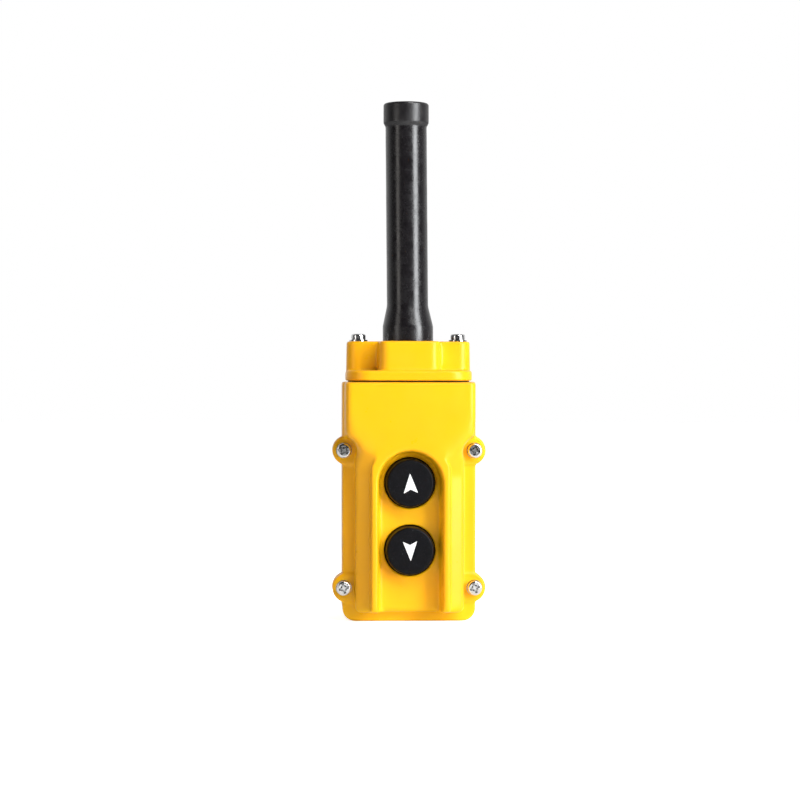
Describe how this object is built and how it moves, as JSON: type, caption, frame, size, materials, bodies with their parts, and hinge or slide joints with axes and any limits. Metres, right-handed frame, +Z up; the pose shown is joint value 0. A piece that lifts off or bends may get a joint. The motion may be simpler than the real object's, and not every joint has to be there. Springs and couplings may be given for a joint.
{
  "type": "pendant control station",
  "caption": "Hand-held hoist pendant: yellow case with up and down push buttons between finger guards, screwed top cap and a long black rubber cable sleeve.",
  "frame": {"origin": "under the middle of the whole part, on the surface it stands on", "axes": "+Z up along the cable sleeve, the buttons face -Y, +X is the right-hand side seen from the front"},
  "size_m": [0.0826, 0.06, 0.28],
  "materials": {
    "yellow_shell": "semi-gloss moulded ABS",
    "black_rubber": "semi-gloss extruded rubber",
    "gasket_rubber": "matte",
    "black_plastic": "satin",
    "white_inlay": "satin",
    "stem_plastic": "satin",
    "spring_steel": "bright wire",
    "brass": "bright brass",
    "silver_tip": "bright",
    "plated_steel": "zinc plated",
    "phenolic": "satin phenolic",
    "zinc_screw": "bright nickel plate"
  },
  "bodies": {
    "station": {"front_cover": "yellow_shell", "rear_housing": "yellow_shell", "top_cap": "yellow_shell", "cable_sleeve": "black_rubber", "body_gasket": "gasket_rubber", "cap_gasket": "gasket_rubber", "up_button_seal": "gasket_rubber", "down_button_seal": "gasket_rubber", "up_return_spring": "spring_steel", "down_return_spring": "spring_steel", "fixed_contacts": "brass", "cover_inserts": "brass", "cap_inserts": "brass", "button_bracket": "plated_steel", "sleeve_clamp_ring": "plated_steel", "cord_clamp": "plated_steel", "terminal_clamps": "plated_steel", "contact_block": "phenolic", "cover_screws": "zinc_screw", "cover_washers": "zinc_screw", "cap_screws": "zinc_screw", "cap_washers": "zinc_screw", "terminal_screws": "zinc_screw", "block_screws": "zinc_screw", "clamp_screws": "zinc_screw"},
    "up_button": {"up_button_cap": "black_plastic", "up_arrow": "white_inlay", "up_plunger": "stem_plastic", "up_contact_bridge": "brass", "up_bridge_tips": "silver_tip"},
    "down_button": {"down_button_cap": "black_plastic", "down_arrow": "white_inlay", "down_plunger": "stem_plastic", "down_contact_bridge": "brass", "down_bridge_tips": "silver_tip"}
  },
  "joints": [
    {"name": "up_press", "type": "slide", "parent": "station", "child": "up_button", "axis": [0, 1, 0], "range_m": [0, 0.0045], "stiffness_N_per_m": 600, "springref_m": -0.004, "deforming": ["up_return_spring"]},
    {"name": "down_press", "type": "slide", "parent": "station", "child": "down_button", "axis": [0, 1, 0], "range_m": [0, 0.0045], "stiffness_N_per_m": 600, "springref_m": -0.004, "deforming": ["down_return_spring"]}
  ]
}
